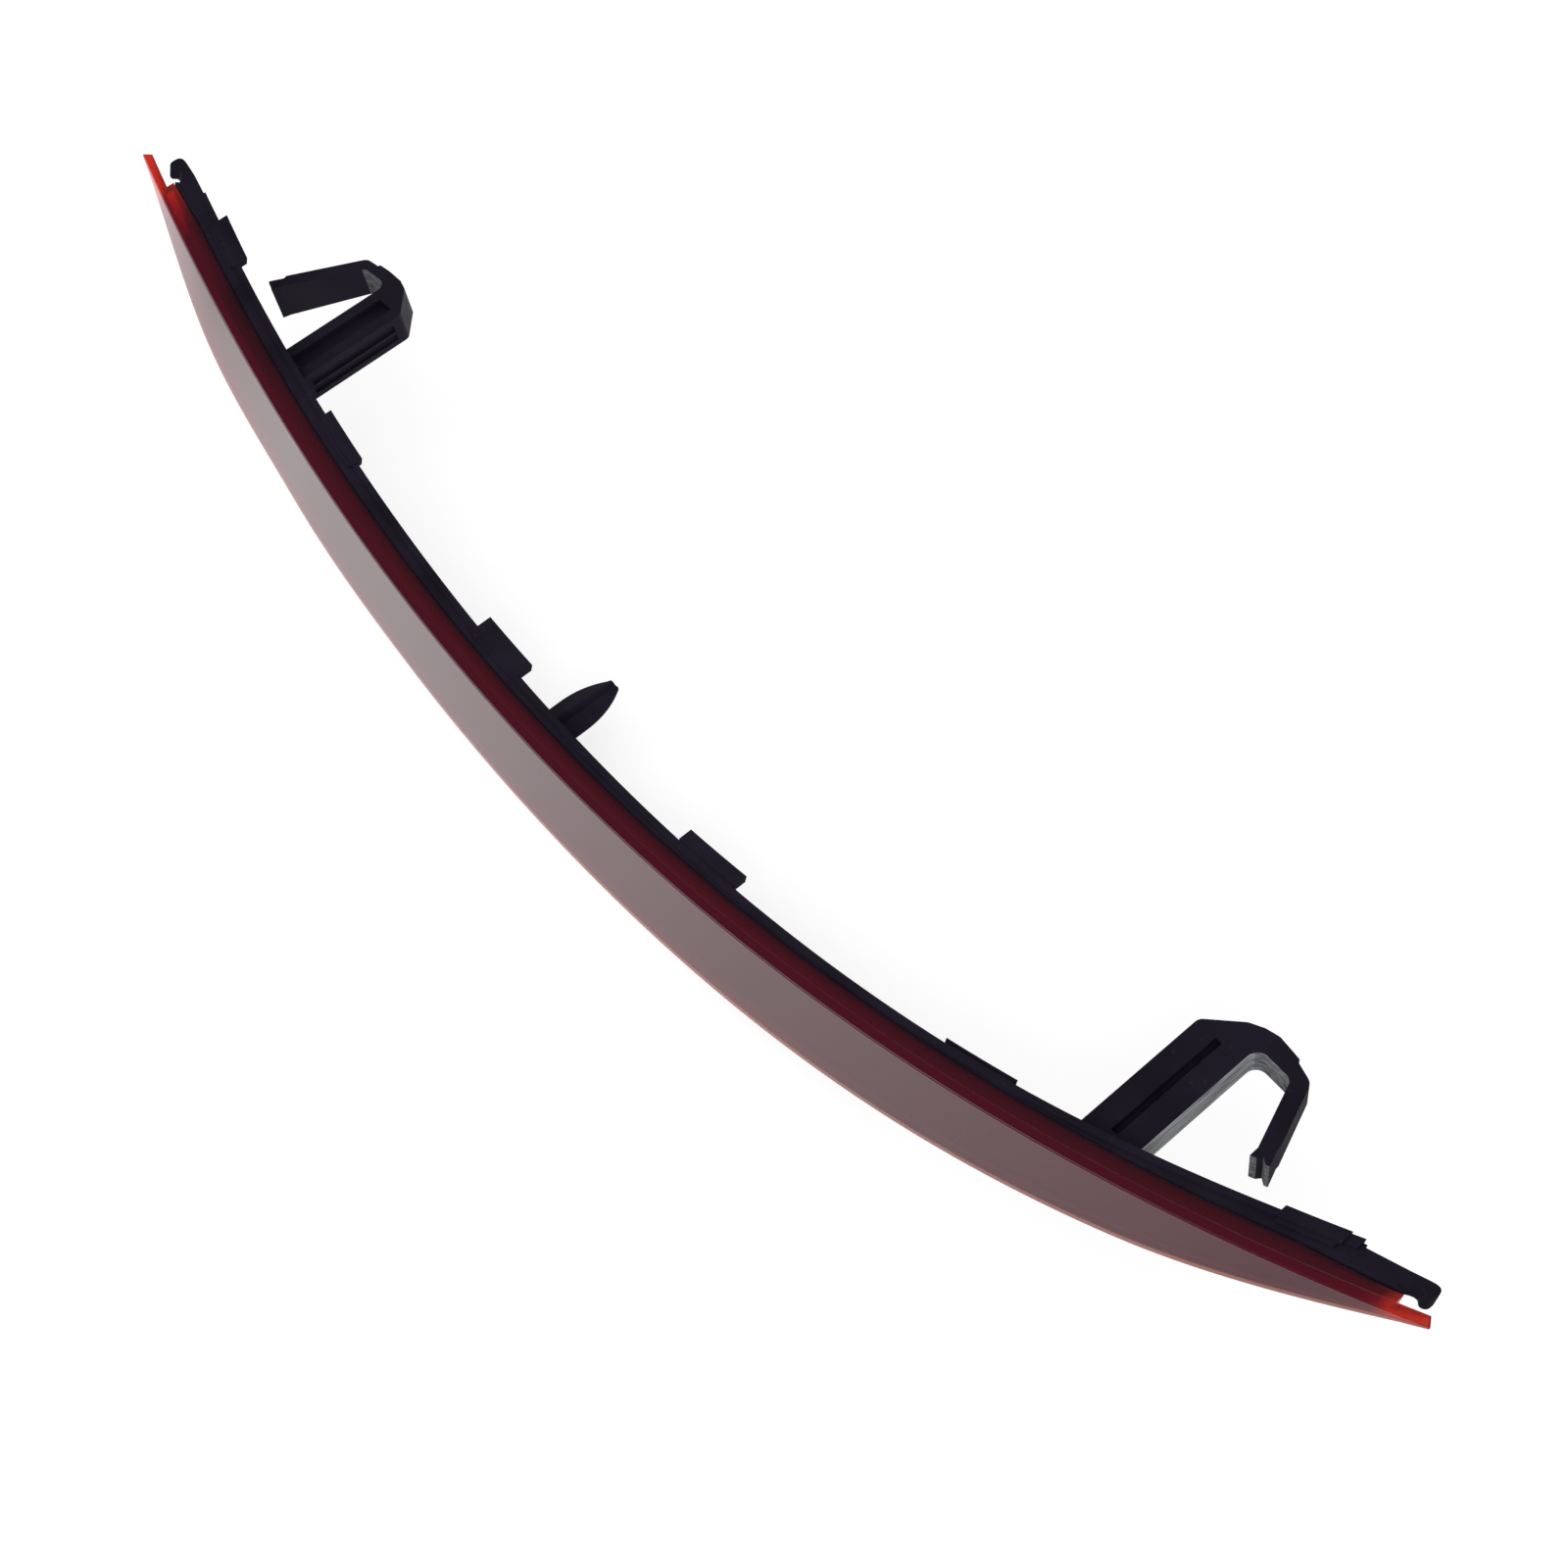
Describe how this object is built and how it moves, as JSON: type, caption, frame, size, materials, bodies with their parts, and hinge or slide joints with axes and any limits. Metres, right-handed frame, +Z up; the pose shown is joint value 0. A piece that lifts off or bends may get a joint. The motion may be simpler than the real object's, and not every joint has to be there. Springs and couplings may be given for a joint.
{
  "type": "third brake light",
  "caption": "Slim bowed centre stop lamp with a pointed red lens on a black housing, held by two spring clips, a locating pin and end hooks.",
  "frame": {"origin": "middle of the flat rest pad on the back of the housing", "axes": "+X along the lamp, +Y out of the back towards the body panel, +Z up the lens face"},
  "size_m": [0.4, 0.0622, 0.0504],
  "materials": {
    "red_lens": "clear red acrylic, polished",
    "black_housing": "black moulded plastic, fine grain",
    "seal_rubber": "matt black rubber",
    "bezel_plastic": "matt black",
    "board_laminate": "solder mask over glass laminate",
    "lamp_package": "white moulded package",
    "component_body": "dark ceramic and epoxy",
    "header_plastic": "black moulded plastic",
    "tinned_brass": "tinned"
  },
  "bodies": {
    "lamp": {"lens": "red_lens", "rear_housing": "black_housing", "connector_header": "header_plastic", "lens_seal": "seal_rubber", "led_bezel": "bezel_plastic", "led_board": "board_laminate", "led_01": "lamp_package", "led_02": "lamp_package", "led_03": "lamp_package", "led_04": "lamp_package", "led_05": "lamp_package", "led_06": "lamp_package", "led_07": "lamp_package", "led_08": "lamp_package", "led_09": "lamp_package", "led_10": "lamp_package", "led_11": "lamp_package", "led_12": "lamp_package", "resistor_1": "component_body", "resistor_2": "component_body", "resistor_3": "component_body", "resistor_4": "component_body", "diode": "component_body", "supply_terminal": "tinned_brass", "ground_terminal": "tinned_brass"},
    "left_tongue": {"left_clip_tongue": "black_housing"},
    "right_tongue": {"right_clip_tongue": "black_housing"}
  },
  "joints": [
    {"name": "left_clip_flex", "type": "hinge", "parent": "lamp", "child": "left_tongue", "pos_m": [-0.1517, 0.0444, 0.01622], "axis": [0, 0, 1], "range_deg": [0, 14], "stiffness_Nm_per_rad": 1.5},
    {"name": "right_clip_flex", "type": "hinge", "parent": "lamp", "child": "right_tongue", "pos_m": [0.1517, 0.0444, 0.01622], "axis": [0, 0, -1], "range_deg": [0, 14], "stiffness_Nm_per_rad": 1.5}
  ]
}
